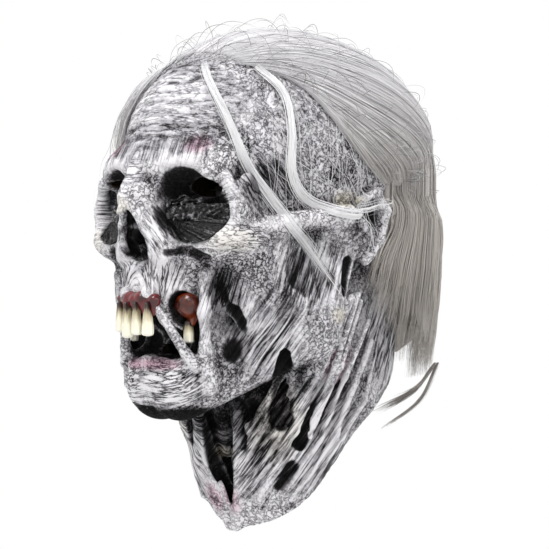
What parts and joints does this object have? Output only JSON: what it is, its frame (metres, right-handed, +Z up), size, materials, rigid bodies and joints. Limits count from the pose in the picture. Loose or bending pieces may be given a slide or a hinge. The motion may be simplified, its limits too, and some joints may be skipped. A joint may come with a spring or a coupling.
{
  "type": "full-head costume mask",
  "caption": "Full-head latex costume mask: withered skull face with teeth, open neck with a pointed bib, and long thin grey hair that hangs at the sides and back.",
  "frame": {"origin": "midway between the ears, inside the head cavity", "axes": "+Z up to the crown, -Y the way the face looks, +X the wearer's left"},
  "size_m": [0.1936, 0.2575, 0.3465],
  "materials": {
    "latex": "matt moulded latex, dark base dry-brushed pale grey",
    "patch": "glossy crinkled black latex",
    "gum": "wet-look dark red latex",
    "tooth": "cast resin, cream, stained at the root",
    "hair": "combed grey-white synthetic hair",
    "weft": "sewn hair weft band"
  },
  "bodies": {
    "mask": {"latex_skin": "latex", "eye_patch_left": "patch", "eye_patch_right": "patch", "nose_patch": "patch", "upper_gum": "gum", "cheek_flesh_left": "gum", "cheek_flesh_right": "gum", "front_tooth_1": "tooth", "front_tooth_2": "tooth", "front_tooth_3": "tooth", "front_tooth_4": "tooth", "cheek_tooth_left": "tooth", "cheek_tooth_right": "tooth", "crown_hair": "hair", "brow_lock_left": "hair", "temple_lock_left": "hair", "brow_lock_right": "hair", "temple_lock_right": "hair", "front_weft": "weft", "left_weft": "weft", "back_weft": "weft", "right_weft": "weft"},
    "left_hair": {"left_hair": "hair", "upper_tail": "hair", "lower_tail": "hair"},
    "back_hair": {"back_hair": "hair"},
    "right_hair": {"right_hair": "hair"}
  },
  "joints": [
    {"name": "left_hair_swing", "type": "hinge", "parent": "mask", "child": "left_hair", "pos_m": [0.0724, 0.0658, 0.022], "axis": [0.477, -0.8789, 0], "range_deg": [0, 35]},
    {"name": "back_hair_swing", "type": "hinge", "parent": "mask", "child": "back_hair", "pos_m": [0, 0.113, 0.016], "axis": [1, 0, 0], "range_deg": [0, 35]},
    {"name": "right_hair_swing", "type": "hinge", "parent": "mask", "child": "right_hair", "pos_m": [-0.0724, 0.0658, 0.022], "axis": [0.477, 0.8789, 0], "range_deg": [0, 35]}
  ]
}
